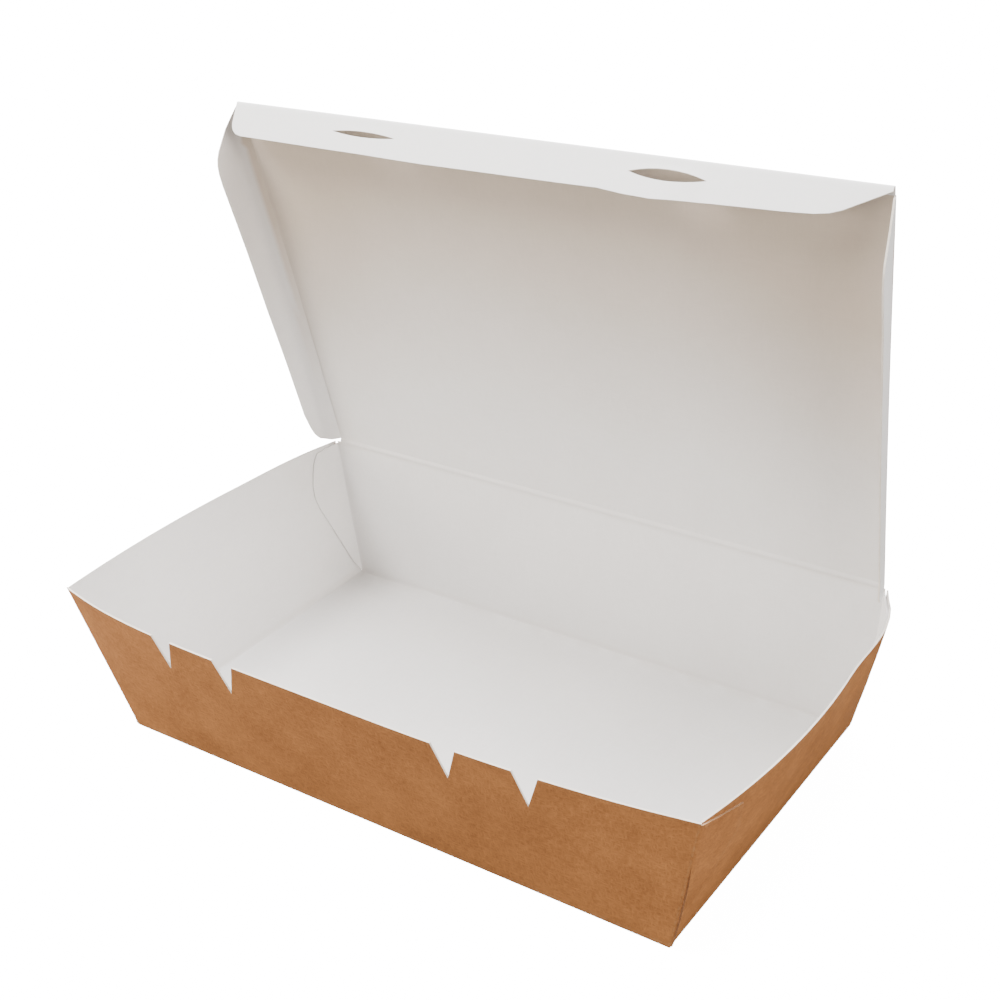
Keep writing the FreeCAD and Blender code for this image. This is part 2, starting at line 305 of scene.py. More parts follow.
TURN = 1.1 * MM


def outer_corner(side, z):
    """The front corner, moved out by the thickness of the side wall under the tab."""
    return corner(side, True, z) + Vector((side * outer_step(z), 0, 0))


def front_end(side, z, distance):
    """A point of the front wall's skin at a distance from its corner."""
    s = side * (1 - distance / front_half(side, z / HEIGHT))
    return front_point(s, z) + Vector((side * outer_step(z), 0, 0))


TAB_LINE = [
    (1.2, -56.0), (20, -48.0), (33, -41.0), (45.5, -45.5), (49.4, -62.2), (50.0, -62.9),
]


def tab_end(z):
    """Where the outer glue tab ends at height z: its slanted foot, its end edge and its top."""
    return broken_line([(h * MM, y * MM) for h, y in TAB_LINE], z)


def tab_point(side, y, z):
    """A point of the outer glue tab, which lies on the side wall."""
    return side_at(side, y, z) + Vector((side * outer_step(z), 0, 0))


def fold_reach(room):
    """How far a rounded corner fold reaches along its tab, which may be very short."""
    return min(TURN, max(0.9 * room, 0.05 * MM))


def corner_turn(side, z, t):
    """The rounded fold at the front corner; t runs from the wall to the tab."""
    tip = outer_corner(side, z)
    reach = fold_reach(tab_end(z) - tip.y)
    a = front_end(side, z, TURN)
    b = tab_point(side, tip.y + reach, z)
    return mix(mix(a, tip, t), mix(tip, b, t), t)


def front_row(z):
    """One row of the front wall, from fold to fold."""
    row = [corner_turn(LEFT, z, t) for t in (0.5, 0.25, 0.0)]
    for s in columns:
        height = rim_height(s)
        level = z if z < BEND else BEND + (z - BEND) * (height - BEND) / (HEIGHT - BEND)
        row.append(front_point(s, level))
    row += [corner_turn(RIGHT, z, t) for t in (0.0, 0.25, 0.5)]
    return row


columns = [s for s in front_columns() if abs(s) < 1 - 2.5 * TURN / RIM_HALF]


def floor_edge(s):
    """Where the flat floor ends, just short of the fold at the foot of the front wall."""
    return Vector((s * (FLOOR_HALF - FOOT), -(FLOOR_DEEP - FOOT), 0))


front_shares = [-1.0, -0.994, -0.988] + columns + [0.988, 0.994, 1.0]
wall_rows = [front_row(z) for z in ROWS]
foot = []
for share, above in zip(front_shares, wall_rows[0]):
    inner = floor_edge(share)
    fold = Vector((share * FLOOR_HALF, -FLOOR_DEEP, 0))
    foot.append(foot_rows(inner, fold, above))
front_rows = [list(level) for level in zip(*foot)][:3] + wall_rows
TOP_ROW = len(front_rows) - 1


def front_rub_and_shade(r, c):
    """Creases and cut edges are a little marked: rub on the kraft, painted shade on the lining.
    """
    ends = c == 1 or c == len(front_rows[0]) - 2
    return 1.0 if r < 4 or ends else (0.3 if r >= TOP_ROW - 1 else 0.0)


lay_patch(front_rows, "tray_board", front_rub_and_shade)
print("front wall: %d columns, notch points at %s mm" % (
    len(front_rows[0]), [round(1000 * tip, 1) for tip in NOTCH_TIPS]))

# %% [markdown]
# ## The outer glue tabs
#
# The front wall's ends fold back over the outside of the side walls and are glued there. On the
# lower half of the corner the board has sprung open and leaves a thin dark slot. The slot is
# real geometry: below a certain height the tab's edge has points of its own, moved back along
# the side wall, and so it isn't welded to the wall.

# %% Lay the outer tabs
SPLIT_TOP = 33 * MM
SLOT = 0.85 * MM
TAB_COLUMNS = 7


def slot_width(z):
    """A lens-shaped slot, open from just above the table to SPLIT_TOP."""
    if not 0 < z < SPLIT_TOP:
        return 0.0
    return SLOT * math.sin(math.pi * (z / SPLIT_TOP) ** 0.8) ** 0.7


def tab_row(side, z):
    start = outer_corner(side, z).y
    end = tab_end(z)
    opened = 1 - ramp(z, SPLIT_TOP - 5 * MM, SPLIT_TOP)
    reach = fold_reach(end - start)
    row = []
    for i, t in enumerate((0.5, 0.75, 1.0)):
        turned = corner_turn(side, z, t)
        flat = tab_point(side, min(start + reach * (0.3 + 0.35 * i) + slot_width(z), end), z)
        row.append(mix(turned, flat, opened))
    for i in range(1, TAB_COLUMNS + 1):
        y = mix(start + reach, end, i / TAB_COLUMNS)
        y = min(y + slot_width(z) * (1 - i / TAB_COLUMNS), end)
        row.append(tab_point(side, y, z))
    return row


def tab_rub(side, width):
    """The tab's end and its top edge are rubbed; the rows on the left run the other way."""
    last = 0 if side == LEFT else width - 1
    return lambda r, c: 0.8 if c == last or r > len(ROWS) - 4 else 0.0


for side in (LEFT, RIGHT):
    tab_rows = [tab_row(side, z) for z in ROWS if z < HEIGHT]
    if side == LEFT:
        tab_rows = [row[::-1] for row in tab_rows]
    lay_patch(tab_rows, "tray_board", tab_rub(side, len(tab_rows[0])))
print("slot at the corner: %.2f mm wide at most" % (1000 * max(slot_width(z) for z in ROWS)))

# %% [markdown]
# ## The side walls
#
# A side wall starts behind the front wall's fold and stops short of the back corner, where its
# free edge is cut in a shallow curve. It lies on the glued tab with a hair of air between them
# and lifts a little at that edge. Layers that touch exactly would flicker in a render, so every
# lap keeps this hair of air.

# %% Lay the side walls
REAR_CUT = [(0, 0.0), (6, 2.2), (12, 4.2), (16, 4.8), (21, 4.2), (30, 2.6), (40, 1.4), (50, 0.5)]
REAR_LIFT = 0.2 * MM
SIDE_COLUMNS = 26


def side_share(t):
    return mix(-(FLOOR_DEEP - FOOT), FLOOR_DEEP - FOOT, t)


def side_rub_and_shade(r, c):
    """The fold at the foot is marked, and the rim a little: rub on the kraft, painted shade on
    the lining.
    """
    return 1.0 if r < 4 else (0.3 if r > len(ROWS) else 0.0)


def side_row(side, z):
    start = corner(side, True, z).y + inner_step(z)
    cut = broken_line([(h * MM, c * MM) for h, c in REAR_CUT], z)
    end = corner(side, False, z).y - cut
    row = []
    for i in range(SIDE_COLUMNS + 1):
        t = i / SIDE_COLUMNS
        point = side_at(side, mix(start, end, t), z)
        lift = side * REAR_LIFT * ramp(t, 0.9, 1.0) * ramp(z, 0, 3 * MM)
        row.append(point + Vector((lift, 0, 0)))
    return row


for side in (LEFT, RIGHT):
    wall = [side_row(side, z) for z in ROWS]
    foot = []
    for i, above in enumerate(wall[0]):
        t = i / SIDE_COLUMNS
        inner = Vector((side * (FLOOR_HALF - FOOT), side_share(t), 0))
        fold = Vector((side * FLOOR_HALF, mix(-FLOOR_DEEP, FLOOR_DEEP, t), 0))
        foot.append(foot_rows(inner, fold, above))
    rows = [list(level) for level in zip(*foot)][:3] + wall
    if side == LEFT:
        rows = [row[::-1] for row in rows]
    lay_patch(rows, "tray_board", side_rub_and_shade)
print("side walls: %d columns each" % (SIDE_COLUMNS + 1))

# %% [markdown]
# ## The back wall and the inner glue tabs
#
# At the back the tabs go inside the side walls, which is how this kind of box keeps its rear
# corners tidy. The tabs show inside the tray as a faint outline: a short top edge, an upright
# end and a long slant down to the floor's corner. The middle of the back wall goes on upward
# into the lid, so only its two ends have a cut edge on top.

# %% Lay the back wall
INNER_TAB = [
    (1.2, 55.2), (6, 52.4), (31, 43.6), (36, 43.0), (45, 46.4), (48.4, 49.0), (49.4, 56.5),
]
BACK_SPAN = [i / 20 for i in range(-19, 20)]
BACK_TURNS = {LEFT: TURN, RIGHT: 0.6 * MM}


def inner_tab_end(z):
    return broken_line([(h * MM, y * MM) for h, y in INNER_TAB], z)


def inner_tab_point(side, y, z):
    """Just inside the side wall."""
    return side_at(side, y, z) - Vector((side * inner_step(z), 0, 0))


def back_turn(side, z, t):
    """The rounded fold at a back corner; t runs from the tab to the wall."""
    k = z / HEIGHT
    tip = back_point(side, z)
    reach = fold_reach(tip.y - inner_tab_end(z))
    a = inner_tab_point(side, tip.y - reach, z)
    b = back_point(side * (1 - BACK_TURNS[side] / back_half(side, k)), z)
    return mix(mix(a, tip, t), mix(tip, b, t), t)


def back_row(z):
    """From the right corner to the left one, seen from inside as left to right."""
    row = [back_turn(RIGHT, z, t) for t in (0.5, 0.75, 1.0)]
    row += [back_point(HINGE_ENDS[RIGHT] / (back_half(RIGHT, 1) - LAP), z)]
    row += [back_point(u, z) for u in reversed(BACK_SPAN)]
    row += [back_point(-HINGE_ENDS[LEFT] / (back_half(LEFT, 1) - LAP), z)]
    row += [back_turn(LEFT, z, t) for t in (1.0, 0.75, 0.5)]
    return row


back_wall = [back_row(z) for z in ROWS]
back_shares = [1.0, 0.998, 0.996, 0.992] + list(reversed(BACK_SPAN))
back_shares += [-0.976, -0.988, -0.994, -1.0]
foot = []
for share, above in zip(back_shares, back_wall[0]):
    inner = Vector((share * (FLOOR_HALF - FOOT), FLOOR_DEEP - FOOT, 0))
    fold = Vector((share * FLOOR_HALF, FLOOR_DEEP, 0))
    foot.append(foot_rows(inner, fold, above))
back_rows = [list(level) for level in zip(*foot)][:3] + back_wall
LAST = len(back_rows) - 2


def back_piece(r, c):
    """The top row of cells belongs to the moving crease, apart from the two ends."""
    inside = 2 < c < len(back_rows[0]) - 4
    return "lid_crease" if r == LAST and inside else "tray_board"


# The foot and the hinge rows carry the crease mark: rub on the kraft, painted shade on the
# lining.
lay_patch(back_rows, back_piece, lambda r, c: 1.0 if r < 4 or r > LAST - 1 else 0.0)

for side in (LEFT, RIGHT):
    rows = []
    for z in ROWS[:-1]:
        tip = back_point(side, z)
        reach = fold_reach(tip.y - inner_tab_end(z))
        row = [back_turn(side, z, t) for t in (0.5, 0.25, 0.0)]
        for i in range(1, TAB_COLUMNS + 1):
            y = mix(tip.y - reach, inner_tab_end(z), i / TAB_COLUMNS)
            row.append(inner_tab_point(side, y, z))
        rows.append(row if side == LEFT else row[::-1])
    lay_patch(rows, "tray_board")
print("back wall: hinge from %.1f to %.1f mm" % (
    -1000 * HINGE_ENDS[LEFT], 1000 * HINGE_ENDS[RIGHT]))

# %% [markdown]
# ## The floor
#
# The floor closes the ring of folded feet, so its border has to repeat the columns of the four
# walls, and the front wall has more of them than the back one. One way is to fill the border
# with a single face, but such a face has long thin triangles. Here the front half takes the
# front wall's columns, the back half the back wall's, and a zip of triangles joins the halves.

# %% Lay the floor
floor_ys = [i / SIDE_COLUMNS for i in range(SIDE_COLUMNS + 1)]
floor_rows = []
for t in floor_ys:
    y = side_share(t)
    shares = front_shares if t < 0.5 else list(reversed(back_shares))
    floor_rows.append([Vector((s * (FLOOR_HALF - FOOT), y, 0)) for s in shares])
half = len([t for t in floor_ys if t < 0.5])
near, far = floor_rows[:half], floor_rows[half:]
for rows in (near, far):
    lay_patch([row[::-1] for row in rows], "tray_board")
seam_near = [sheet.verts.new(p) for p in near[-1]]
seam_far = [sheet.verts.new(p) for p in far[0]]
i = j = 0
while i < len(seam_near) - 1 or j < len(seam_far) - 1:
    step_near = i < len(seam_near) - 1 and (
        j == len(seam_far) - 1 or seam_near[i + 1].co.x <= seam_far[j + 1].co.x)
    if step_near:
        face = sheet.faces.new((seam_near[i + 1], seam_near[i], seam_far[j]))
        i += 1
    else:
        face = sheet.faces.new((seam_near[i], seam_far[j], seam_far[j + 1]))
        j += 1
    face[piece_layer] = PIECES.index("tray_board")
    face.smooth = True
print("floor: %d columns in front, %d behind" % (len(front_shares), len(back_shares)))

# %% [markdown]
# ## Along the lid
#
# A point of the lid is given by x, by how far it lies from the hinge along the lid, and by how
# far it stands in front of the lid's inner face. The outer skin is one board behind that face.
# The panel widens towards its front fold, the flap's fold is a little out of square, and a very
# slight belly keeps the panel from looking like glass: real board is never quite flat.

# %% Describe the lid
ALONG = Vector((0, math.cos(LID_ANGLE), math.sin(LID_ANGLE)))
INWARD = Vector((0, -math.sin(LID_ANGLE), math.cos(LID_ANGLE)))


def lid_place(x, s, n):
    """x across the lid, s along it from the hinge, n in front of its inner face."""
    return HINGE + Vector((x, 0, 0)) + ALONG * s + INWARD * n


def lid_end(x):
    """How far the flap's fold lies from the hinge; it was creased a little out of square."""
    return LID_LENGTH - 0.6 * MM * (1 - x / LID_HALF)


def fold_x(side, s):
    """Where a wing's fold lies at a distance s from the hinge; its middle dips inward."""
    dip = FOLD_DIP[side] * math.sin(math.pi * min(max(s / LID_LENGTH, 0), 1))
    return side * (mix(HINGE_ENDS[side], LID_ENDS[side], s / LID_LENGTH) - dip)


def lid_skin(u, s):
    """The lid's outer skin; u runs from -1 to 1 across the panel."""
    belly = 0.9 * MM * (1 - u * u) * math.sin(math.pi * s / LID_LENGTH)
    wave = 0.25 * MM * math.sin(2.3 * u + 0.6) * math.sin(2 * math.pi * s / LID_LENGTH)
    x = mix(fold_x(LEFT, s), fold_x(RIGHT, s), (u + 1) / 2)
    return lid_place(x, s, -BOARD - belly - wave)


def turned(pivot, start, normal, angle, radius):
    """A point of a fold's outer skin: start turns towards normal about the pivot."""
    return pivot + start * (math.sin(angle) * radius) - normal * (math.cos(angle) * radius)


print("lid: %.1f mm long, %.1f mm wide at the hinge" % (
    1000 * LID_LENGTH, 1000 * (HINGE_ENDS[LEFT] + HINGE_ENDS[RIGHT])))

# %% [markdown]
# ## The lid panel, its wings and the creases between them
#
# The wings curl as they leave the lid: they were creased, then gathered by hand, so the angle
# grows across their width. Each row of the lid is walked from the middle of one wing's edge to
# the other's: wing, crease, panel, crease, wing. The wing's outline gives its width at each
# row, with a rounded heel by the hinge and a slant in front. The print stops at the creases, so
# the wings' outer faces are marked white. The lining carries painted shade, darker towards the
# flap, which shades it.

# %% Lay the lid
WING_LINE = [
    (1.2, 3.6), (2.5, 6.4), (3.1, 7.4), (4.2, 8.2), (6, 9.1), (9, 9.9), (15, 10.9), (37, 11.7),
    (58, 12.7), (81, 13.3), (104, 14.2), (108, 14.1), (110.5, 13.7), (112.5, 13.0),
    (114.5, 11.8), (127, 0.9),
]
WING_CELLS = 9
HEEL = {LEFT: 0.0, RIGHT: 3.0 * MM}
CURL = {LEFT: (36, 78), RIGHT: (72, 79)}
FOLD_RADIUS = 0.56 * MM
FOLD_STEPS = 4
PANEL_CELLS = 24
LID_ROWS = [1.2, 2.5, 3.1, 4.2, 6, 9, 12, 15, 20, 25, 31, 37, 44, 51, 58, 66, 74, 81, 88, 95, 100,
            104, 108, 110.5, 112.5, 114.5, 117, 120, 123, 125, 126.2]


def wing_width(side, s):
    """The right wing's heel is sharper than the left one's."""
    fuller = HEEL[side] * ramp(12 * MM - s, 0, 9.5 * MM)
    return broken_line([(a * MM, b * MM) for a, b in WING_LINE], s) + fuller


def away_from_panel(side):
    """The direction in the panel's plane that is square to a wing's fold."""
    taper = math.atan2(LID_ENDS[side] - HINGE_ENDS[side], LID_LENGTH)
    return Vector((side, 0, 0)) * math.cos(taper) - ALONG * math.sin(taper)


def wing_points(side, s):
    """The crease and the wing at one row, from the panel outward."""
    out = away_from_panel(side)
    pivot = lid_place(fold_x(side, s), s, 0)
    low, high = (math.radians(a) for a in CURL[side])
    if side == RIGHT:
        low = mix(low, high, 0.7 * ramp(s, 90 * MM, 120 * MM))
    points = []
    for i in range(FOLD_STEPS + 1):
        points.append(turned(pivot, out, INWARD, low * i / FOLD_STEPS, FOLD_RADIUS))
    width = wing_width(side, s)
    spot = points[-1].copy()
    for i in range(1, WING_CELLS + 1):
        w = width * i / WING_CELLS
        angle = mix(low, high, ramp(w / (14 * MM), 0.34, 0.62))
        spot = spot + (out * math.cos(angle) + INWARD * math.sin(angle)) * (width / WING_CELLS)
        points.append(spot.copy())
    return points


def panel_points(s):
    """The panel between its two creases."""
    edge = 1 - FOLD_BAND / fold_x(RIGHT, s)
    us = [-edge + 2 * edge * i / PANEL_CELLS for i in range(PANEL_CELLS + 1)]
    return [lid_skin(u, s) for u in us]


lid_rows = []
for s in (a * MM for a in LID_ROWS):
    left = wing_points(LEFT, s)[::-1]
    right = wing_points(RIGHT, s)
    lid_rows.append(left + panel_points(s) + right)
WIDE = len(lid_rows[0])
WING_SIDE = WING_CELLS + 1
CREASE_SIDE = WING_SIDE + FOLD_STEPS


def lid_cell(c):
    """Which piece a column of cells belongs to."""
    side, count = ("left", c) if c < WIDE - 2 - c else ("right", WIDE - 2 - c)
    if count < WING_SIDE - 1:
        return side + "_wing_board"
    return side + "_wing_crease" if count < CREASE_SIDE else "lid_board"


def lid_shade(point):
    """Painted shade on the lining: darker towards the flap, which shades it, and towards the
    panel's sides, less on the wings.
    """
    s = (point - HINGE).dot(ALONG)
    up = ramp(s, 20 * MM, 118 * MM)
    aside = 0.25 * ramp(abs(point.x), 40 * MM, 105 * MM) * ramp(s, 10 * MM, 60 * MM)
    on_wing = (point - HINGE).dot(INWARD) > 1.2 * MM
    return 0.35 * up if on_wing else min(1.0, 0.95 * up + aside)


def lid_rub_and_shade(c):
    """The points of the wings' creases are marked: rub on the kraft, painted shade on the lining.
    """
    crease = WING_SIDE + 2
    return 0.6 if min(abs(c - crease), abs(WIDE - 1 - c - crease)) < 3 else 0.0


for near, far in zip(lid_rows, lid_rows[1:]):
    for c in reversed(range(WIDE - 1)):
        name = lid_cell(c)
        white = "wing_board" in name and WING_SIDE - 2 not in (c, WIDE - 2 - c)
        cell = [[near[c + 1], near[c]], [far[c + 1], far[c]]]
        lay_patch(cell, name, lambda r, i: lid_rub_and_shade(c + 1 - i), white, lid_shade)
print("lid: %d rows of %d points" % (len(lid_rows), WIDE))

# %% [markdown]
# ## The lid's crease at the hinge
#
# A crease rule presses a channel into the board, and the board bulges on the inside of the
# fold. The strip from the back wall to the panel follows a short curve.

# %% Lay the hinge crease
BEAD = 0.55 * MM
hinge_top = back_wall[-1][3:-3][::-1]
panel_low = lid_rows[0][CREASE_SIDE - 1:WIDE - CREASE_SIDE + 1]


def nearest_on_panel(x):
    """The panel's first row, as a line that the crease joins."""
    for a, b in zip(panel_low, panel_low[1:]):
        if a.x <= x <= b.x:
            return mix(a, b, (x - a.x) / (b.x - a.x))
    return panel_low[0].copy() if x < panel_low[0].x else panel_low[-1].copy()


crease_rows = []
for t in (0.0, 0.3, 0.6, 1.0):
    row = []
    for p in hinge_top:
        end = nearest_on_panel(p.x)
        middle = HINGE + Vector((end.x, -BEAD, 0.15 * MM))
        row.append(mix(mix(p, middle, t), mix(middle, end, t), t))
    crease_rows.append(row)
# The whole crease carries the crease mark: rub on the kraft, painted shade on the lining.
lay_patch([row[::-1] for row in crease_rows], "lid_crease", lambda r, c: 0.6)
print("hinge crease: %d points long" % len(hinge_top))

# %% [markdown]
# ## The tuck flap and its slits
#
# The flap is folded back over the lid's front edge. Two slits stand open like lens shapes,
# because the strip in front of each was pushed out by the thumb, and that strip has its own
# faint creases. So the flap is two strips: one from the fold to the line of the slits, one from
# there to the free edge. Between the slits' ends the strips share their points, and along the
# slits they part. The print stops on the flap's fold, so from there on the outer face is white.

# %% Lay the tuck flap
FLAP_FOLD = math.radians(138)
FLAP_DOWN = ALONG * math.cos(FLAP_FOLD) + INWARD * math.sin(FLAP_FOLD)
FLAP_OUT = ALONG * math.sin(FLAP_FOLD) - INWARD * math.cos(FLAP_FOLD)
FLAP_EDGE = [
    (-106.9, 6.4), (-106.6, 7.6), (-105.9, 8.7), (-104.6, 9.6), (-102.6, 10.0), (-80, 10.2),
    (-33, 10.7), (14, 10.4), (28, 10.2), (34, 10.9), (43, 11.4), (60, 10.2), (80, 9.5),
    (88, 9.0), (92, 8.3), (95, 7.2), (106.5, 0.95),
]
SLIT_LINE = 4.6 * MM
SLITS = [(-55.5 * MM, 1.8 * MM, 0.5 * MM), (45.7 * MM, 3.4 * MM, 1.5 * MM)]
SLIT_HALF = 11.7 * MM
FLAP_BAND = 0.9 * MM
PLAIN_XS = [
    [-106.9, -106.6, -105.9, -104.6, -102.6, -98, -92, -86, -80, -74],
    [-39, -33, -25, -16, -8, 0, 8, 14, 20, 26],
    [61, 67, 73, 80, 84, 88, 90, 92, 93.5, 95, 99, 103, 106.5],
]


def slit_xs(middle):
    """Columns along one slit, closer together towards its pointed ends."""
    return [middle + SLIT_HALF * math.sin(math.radians(a)) for a in range(-90, 91, 15)]


flap_xs = [x * MM for x in PLAIN_XS[0]]
for slit, plain in zip(SLITS, PLAIN_XS[1:]):
    flap_xs += slit_xs(slit[0]) + [x * MM for x in plain]


def flap_edge(x):
    return broken_line([(a * MM, b * MM) for a, b in FLAP_EDGE], x)


def slit_lens(x):
    """How open the slit is at x, and how far its front lip is pushed out."""
    gape = lift = 0.0
    for middle, wide, pushed in SLITS:
        t = (x - middle) / SLIT_HALF
        if abs(t) < 1 - 1e-9:
            gape = wide / 2 * (1 - t * t)
            lift = pushed * (1 - t * t)
    return gape, lift


def lip_lift(x, d):
    """The front strip stands out around a slit and dies away past its ends."""
    total = 0.0
    for middle, wide, pushed in SLITS:
        t = abs(x - middle) / (SLIT_HALF * 1.25)
        share = 1 - ramp(t, 0.15, 1.0)
        total += pushed * 0.75 * share * ramp(d, 0.2 * SLIT_LINE, SLIT_LINE)
    return total


def flap_skin(x, d, rise=0.0):
    """The flap's outer skin at a distance d from its fold."""
    droop = 0.4 * MM * math.sin(2.2 * x / LID_HALF + 1.0) * d / (11 * MM)
    base = lid_place(x, lid_end(x), 0) + FLAP_DOWN * d
    return base + FLAP_OUT * (FOLD_RADIUS + rise + droop)


back_strip = [[], [], [], []]
front_strip = [[], [], [], [], []]
for x in flap_xs:
    edge = flap_edge(x)
    gape, lift = slit_lens(x)
    first = min(FLAP_BAND, 0.85 * edge)
    line = min(SLIT_LINE, mix(first, edge, 0.4))
    for i in range(4):
        d = mix(first, line - gape, i / 3)
        back_strip[i].append(flap_skin(x, d, lip_lift(x, d) * 0.25 * i / 3))
    for i in range(5):
        d = mix(line + gape, edge, i / 4)
        base = lip_lift(x, d)
        if gape == 0.0 and i == 0:
            base = lip_lift(x, line) * 0.25
        front_strip[i].append(flap_skin(x, d, mix(base, lift, 0.35) if gape else base))
for strip in (back_strip, front_strip):
    lay_patch([row[::-1] for row in strip], "flap_board", white=True)

FOLD_ANGLES = [0, 20, 40, 55, 72, 94, 116, 138]
WHITE_FROM = 4
fold_rows = []
for i in range(len(FOLD_ANGLES) + 2):
    row = []
    for x in flap_xs:
        if i == 0:
            spot = lid_skin(0.98 * x / LID_HALF, LID_ROWS[-1] * MM)
            spot.x = x
        elif i <= len(FOLD_ANGLES):
            angle = math.radians(FOLD_ANGLES[i - 1])
            spot = turned(lid_place(x, lid_end(x), 0), ALONG, INWARD, angle, FOLD_RADIUS)
        else:
            spot = flap_skin(x, min(FLAP_BAND, 0.85 * flap_edge(x)))
        row.append(spot)
    fold_rows.append(row[::-1])
# The fold carries the crease mark: rub on the kraft, painted shade on the lining, a darker tone
# on the white face.
lay_patch(fold_rows[:WHITE_FROM + 1], "flap_crease", lambda r, c: 0.8)
lay_patch(fold_rows[WHITE_FROM:], "flap_crease", lambda r, c: 0.8 - 0.2 * r, white=True)
print("flap: %d columns, slits gape %s mm" % (len(flap_xs), [1000 * s[1] for s in SLITS]))

# %% [markdown]
# ## Weld, thicken and part the sheet
#
# Points of neighbouring patches that fall together become one. A Solidify modifier then gives
# the board its half millimetre. Solidify keeps the outer points first and adds the inner ones
# after them in the same order, which is all that's needed to part the thick sheet again: along
# a border, each outer edge and its inner twin make one clean end face. So every piece is a
# sound solid, and neighbours meet with no gap.

# %% Thicken the sheet
WELD = 0.02 * MM
bmesh.ops.remove_doubles(sheet, verts=sheet.verts, dist=WELD)
flat_cells = [f for f in sheet.faces if f.calc_area() < 1e-12]
bmesh.ops.delete(sheet, geom=flat_cells, context="FACES")
loose = [v for v in sheet.verts if not v.link_faces]
bmesh.ops.delete(sheet, geom=loose, context="VERTS")
crowded = [e for e in sheet.edges if len(e.link_faces) > 2]
skin_mesh = bpy.data.meshes.new("whole_sheet")
sheet.to_mesh(skin_mesh)
sheet.free()
whole = bpy.data.objects.new("whole_sheet", skin_mesh)
bpy.context.scene.collection.objects.link(whole)
thick = whole.modifiers.new("board", "SOLIDIFY")
thick.thickness = BOARD
thick.offset = -1
thick.use_even_offset = True
thick.use_quality_normals = True
depsgraph = bpy.context.evaluated_depsgraph_get()
thick_mesh = bpy.data.meshes.new_from_object(whole.evaluated_get(depsgraph))
OUTER = len(skin_mesh.vertices)
bpy.data.objects.remove(whole)
print("sheet: %d points, thick sheet: %d points, crowded edges: %d" % (
    OUTER, len(thick_mesh.vertices), len(crowded)))

# %% [markdown]
# ## The finishes
#
# Five papers cover the box: brown kraft outside, a white lining inside, brighter bare white on
# the unprinted outer faces of the wings and the flap, painted brighter than the lining as
# painted light, the cream cut edge where the board was stamped, and a dark tan edge, painted
# shade in the slot at the outer tabs' corners and in the gap at the hinge's left end. They are
# all paper, so they share two effects: the cloudy and fibrous look of pulp, and the mark along
# creases, which is rub on the kraft and painted shade on the lining. Each effect is a node group
# that puts out plain numbers, and each material sets its own strength. The textures use object
# coordinates, because the sheet has no unwrapped map and a solid texture runs on round a fold
# without a seam.

# %% Small helpers for nodes
def add_node(tree, kind, **settings):
    made = tree.nodes.new(kind)
    for name, value in settings.items():
        setattr(made, name, value)
    return made


def join(tree, source, output, target, entry):
    tree.links.new(source.outputs[output], target.inputs[entry])


def new_group(name, inputs, outputs):
    """A shader node group with named number sockets."""
    tree = bpy.data.node_groups.new(name, "ShaderNodeTree")
    for label, value in inputs.items():
        socket = tree.interface.new_socket(label, in_out="INPUT", socket_type="NodeSocketFloat")
        socket.default_value = value
    for label in outputs:
        tree.interface.new_socket(label, in_out="OUTPUT", socket_type="NodeSocketFloat")
    entry = add_node(tree, "NodeGroupInput")
    leave = add_node(tree, "NodeGroupOutput")
    return tree, entry, leave


print("helpers:", [f.__name__ for f in (add_node, join, new_group)])

# %% [markdown]
# ## Pulp: clouds and fibres
#
# Kraft is never one brown. Wide soft clouds come from the paper machine, and on top lie short
# fibres in every direction. A single noise looks like plaster, so the fibres are two stretched
# noises at right angles, and the stronger of the two wins at each point.

# %% Build the pulp group
def build_pulp():
    tree, entry, leave = new_group(
        "paper_pulp",
        {"Cloud Size": 26.0, "Fibre Size": 900.0, "Fibre Share": 0.5},
        ["Tone", "Height"],
    )
    place = add_node(tree, "ShaderNodeTexCoord")
    cloud = add_node(tree, "ShaderNodeTexNoise")
    cloud.inputs["Detail"].default_value = 5.0
    cloud.inputs["Roughness"].default_value = 0.62
    join(tree, place, "Object", cloud, "Vector")
    join(tree, entry, "Cloud Size", cloud, "Scale")
    strands = []
    for stretch in ((1.0, 0.22, 0.3), (0.24, 1.0, 1.0)):
        lay = add_node(tree, "ShaderNodeMapping")
        lay.inputs["Scale"].default_value = stretch
        lay.inputs["Rotation"].default_value = (0.4, 0.3, 0.5)
        strand = add_node(tree, "ShaderNodeTexNoise")
        strand.inputs["Detail"].default_value = 4.0
        strand.inputs["Distortion"].default_value = 0.6
        join(tree, place, "Object", lay, "Vector")
        join(tree, lay, "Vector", strand, "Vector")
        join(tree, entry, "Fibre Size", strand, "Scale")
        strands.append(strand)
    strongest = add_node(tree, "ShaderNodeMath", operation="MAXIMUM")
    tree.links.new(strands[0].outputs[0], strongest.inputs[0])
    tree.links.new(strands[1].outputs[0], strongest.inputs[1])
    blend = add_node(tree, "ShaderNodeMix", data_type="FLOAT")
    join(tree, entry, "Fibre Share", blend, 0)
    tree.links.new(cloud.outputs[0], blend.inputs[2])
    tree.links.new(strongest.outputs[0], blend.inputs[3])
    join(tree, blend, 0, leave, "Tone")
    join(tree, strongest, 0, leave, "Height")
    return tree


PULP = build_pulp()
print("group:", PULP.name, [s.name for s in PULP.interface.items_tree])

# %% [markdown]
# ## Rubbed creases and painted crease shade
#
# Where board is folded the surface cracks a little and changes its tone. The sheet already
# carries a number at every point that is high on folds. On kraft it is rub, broken up by noise
# into a mask with ragged edges, like real wear, instead of a clean painted stripe. On the smooth
# lining the same number is painted shade, a plain soft darker line along a fold, so its
# raggedness is nought.

